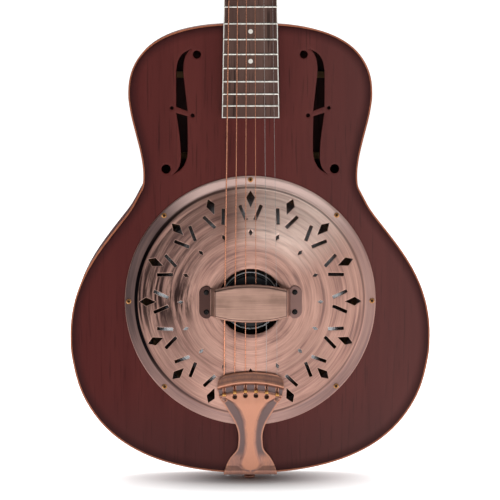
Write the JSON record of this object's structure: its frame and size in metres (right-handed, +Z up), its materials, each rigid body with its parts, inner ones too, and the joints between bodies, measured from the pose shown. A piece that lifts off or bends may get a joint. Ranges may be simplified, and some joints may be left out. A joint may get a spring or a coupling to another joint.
{
  "type": "resonator guitar",
  "caption": "Wooden six-string guitar with a spun cone under a stamped round cover plate, a palm rest, a stamped tailpiece and geared tuners.",
  "frame": {"origin": "where the axis of the end strap button meets the outer face of the rim at the tail, half way between the soundboard and the back", "axes": "+Z up along the neck, +X to the right seen from the front, so the soundboard faces -Y and the back faces +Y"},
  "size_m": [0.376, 0.124, 1.0281],
  "materials": {
    "top_wood": "satin",
    "back_wood": "satin",
    "neck_wood": "satin",
    "edge_wood": "satin",
    "inner_wood": "raw",
    "cone_aluminium": "spun",
    "black_wood": "satin",
    "saddle_wood": "raw",
    "steel": "bright",
    "copper_cover": "brushed antique copper",
    "copper_palm": "brushed antique copper",
    "copper_tail": "antique copper",
    "copper_tuner": "antique copper",
    "brass_screw": "aged",
    "black_screw": "black oxide",
    "strap_metal": "antique copper",
    "rosewood": "satin",
    "ivory_plastic": "gloss",
    "fret_wire": "polished",
    "black_plastic": "gloss",
    "veneer": "gloss",
    "plain_steel": "bright",
    "bronze_wound": "wound",
    "brass_ball": "bright",
    "tuner_key": "antique copper",
    "tuner_post": "antique copper",
    "tuner_gear": "satin"
  },
  "bodies": {
    "guitar": {"soundboard": "top_wood", "back_plate": "back_wood", "sides": "back_wood", "body_binding": "edge_wood", "neck_block": "inner_wood", "tail_block": "inner_wood", "linings": "inner_wood", "front_braces": "inner_wood", "back_braces": "inner_wood", "soundwell": "inner_wood", "cone": "cone_aluminium", "biscuit": "black_wood", "saddle": "saddle_wood", "biscuit_screw": "steel", "cover_plate": "copper_cover", "cover_plate_screws": "brass_screw", "palm_rest": "copper_palm", "palm_rest_screws": "black_screw", "tailpiece": "copper_tail", "tailpiece_screws": "steel", "strap_buttons": "strap_metal", "strap_button_screws": "steel", "neck": "neck_wood", "heel_cap": "neck_wood", "fretboard_riser": "neck_wood", "fretboard": "rosewood", "fretboard_binding": "ivory_plastic", "frets": "fret_wire", "position_dots": "ivory_plastic", "nut": "ivory_plastic", "truss_rod": "steel", "truss_rod_cover": "black_plastic", "headstock_veneer": "veneer", "headstock_screws": "brass_screw", "neck_bolts": "steel", "plain_strings": "plain_steel", "wound_strings": "bronze_wound", "ball_ends": "brass_ball", "tuner_plates": "copper_tuner", "tuner_ferrules": "copper_tuner"},
    "truss_nut": {"truss_rod_nut": "steel"},
    "key_1": {"tuner_key_1": "tuner_key"},
    "post_1": {"tuner_post_1": "tuner_post", "tuner_gear_1": "tuner_gear"},
    "key_2": {"tuner_key_2": "tuner_key"},
    "post_2": {"tuner_post_2": "tuner_post", "tuner_gear_2": "tuner_gear"},
    "key_3": {"tuner_key_3": "tuner_key"},
    "post_3": {"tuner_post_3": "tuner_post", "tuner_gear_3": "tuner_gear"},
    "key_4": {"tuner_key_4": "tuner_key"},
    "post_4": {"tuner_post_4": "tuner_post", "tuner_gear_4": "tuner_gear"},
    "key_5": {"tuner_key_5": "tuner_key"},
    "post_5": {"tuner_post_5": "tuner_post", "tuner_gear_5": "tuner_gear"},
    "key_6": {"tuner_key_6": "tuner_key"},
    "post_6": {"tuner_post_6": "tuner_post", "tuner_gear_6": "tuner_gear"}
  },
  "joints": [
    {"name": "truss_nut_turn", "type": "hinge", "parent": "guitar", "child": "truss_nut", "pos_m": [0, -0.04, 0.8435], "axis": [0, 0, 1], "range_deg": [-180, 180]},
    {"name": "key_1_turn", "type": "hinge", "parent": "guitar", "child": "key_1", "pos_m": [0.022, -0.01968, 0.86561], "axis": [1, 0, 0], "continuous": true},
    {"name": "post_1_turn", "type": "hinge", "parent": "guitar", "child": "post_1", "pos_m": [0.022, -0.03761, 0.87966], "axis": [0, -0.9703, 0.2419], "continuous": true},
    {"name": "key_2_turn", "type": "hinge", "parent": "guitar", "child": "key_2", "pos_m": [0.022, -0.01049, 0.90248], "axis": [1, 0, 0], "continuous": true},
    {"name": "post_2_turn", "type": "hinge", "parent": "guitar", "child": "post_2", "pos_m": [0.022, -0.02842, 0.91653], "axis": [0, -0.9703, 0.2419], "continuous": true},
    {"name": "key_3_turn", "type": "hinge", "parent": "guitar", "child": "key_3", "pos_m": [0.022, -0.0013, 0.93935], "axis": [1, 0, 0], "continuous": true},
    {"name": "post_3_turn", "type": "hinge", "parent": "guitar", "child": "post_3", "pos_m": [0.022, -0.01923, 0.9534], "axis": [0, -0.9703, 0.2419], "continuous": true},
    {"name": "key_4_turn", "type": "hinge", "parent": "guitar", "child": "key_4", "pos_m": [-0.022, -0.0013, 0.93935], "axis": [1, 0, 0], "continuous": true},
    {"name": "post_4_turn", "type": "hinge", "parent": "guitar", "child": "post_4", "pos_m": [-0.022, -0.01923, 0.9534], "axis": [0, -0.9703, 0.2419], "continuous": true},
    {"name": "key_5_turn", "type": "hinge", "parent": "guitar", "child": "key_5", "pos_m": [-0.022, -0.01049, 0.90248], "axis": [1, 0, 0], "continuous": true},
    {"name": "post_5_turn", "type": "hinge", "parent": "guitar", "child": "post_5", "pos_m": [-0.022, -0.02842, 0.91653], "axis": [0, -0.9703, 0.2419], "continuous": true},
    {"name": "key_6_turn", "type": "hinge", "parent": "guitar", "child": "key_6", "pos_m": [-0.022, -0.01968, 0.86561], "axis": [1, 0, 0], "continuous": true},
    {"name": "post_6_turn", "type": "hinge", "parent": "guitar", "child": "post_6", "pos_m": [-0.022, -0.03761, 0.87966], "axis": [0, -0.9703, 0.2419], "continuous": true}
  ],
  "couplings": [
    {"joint": "post_1_turn", "follows": "key_1_turn", "ratio": -0.066667},
    {"joint": "post_2_turn", "follows": "key_2_turn", "ratio": -0.066667},
    {"joint": "post_3_turn", "follows": "key_3_turn", "ratio": -0.066667},
    {"joint": "post_4_turn", "follows": "key_4_turn", "ratio": -0.066667},
    {"joint": "post_5_turn", "follows": "key_5_turn", "ratio": -0.066667},
    {"joint": "post_6_turn", "follows": "key_6_turn", "ratio": -0.066667}
  ]
}
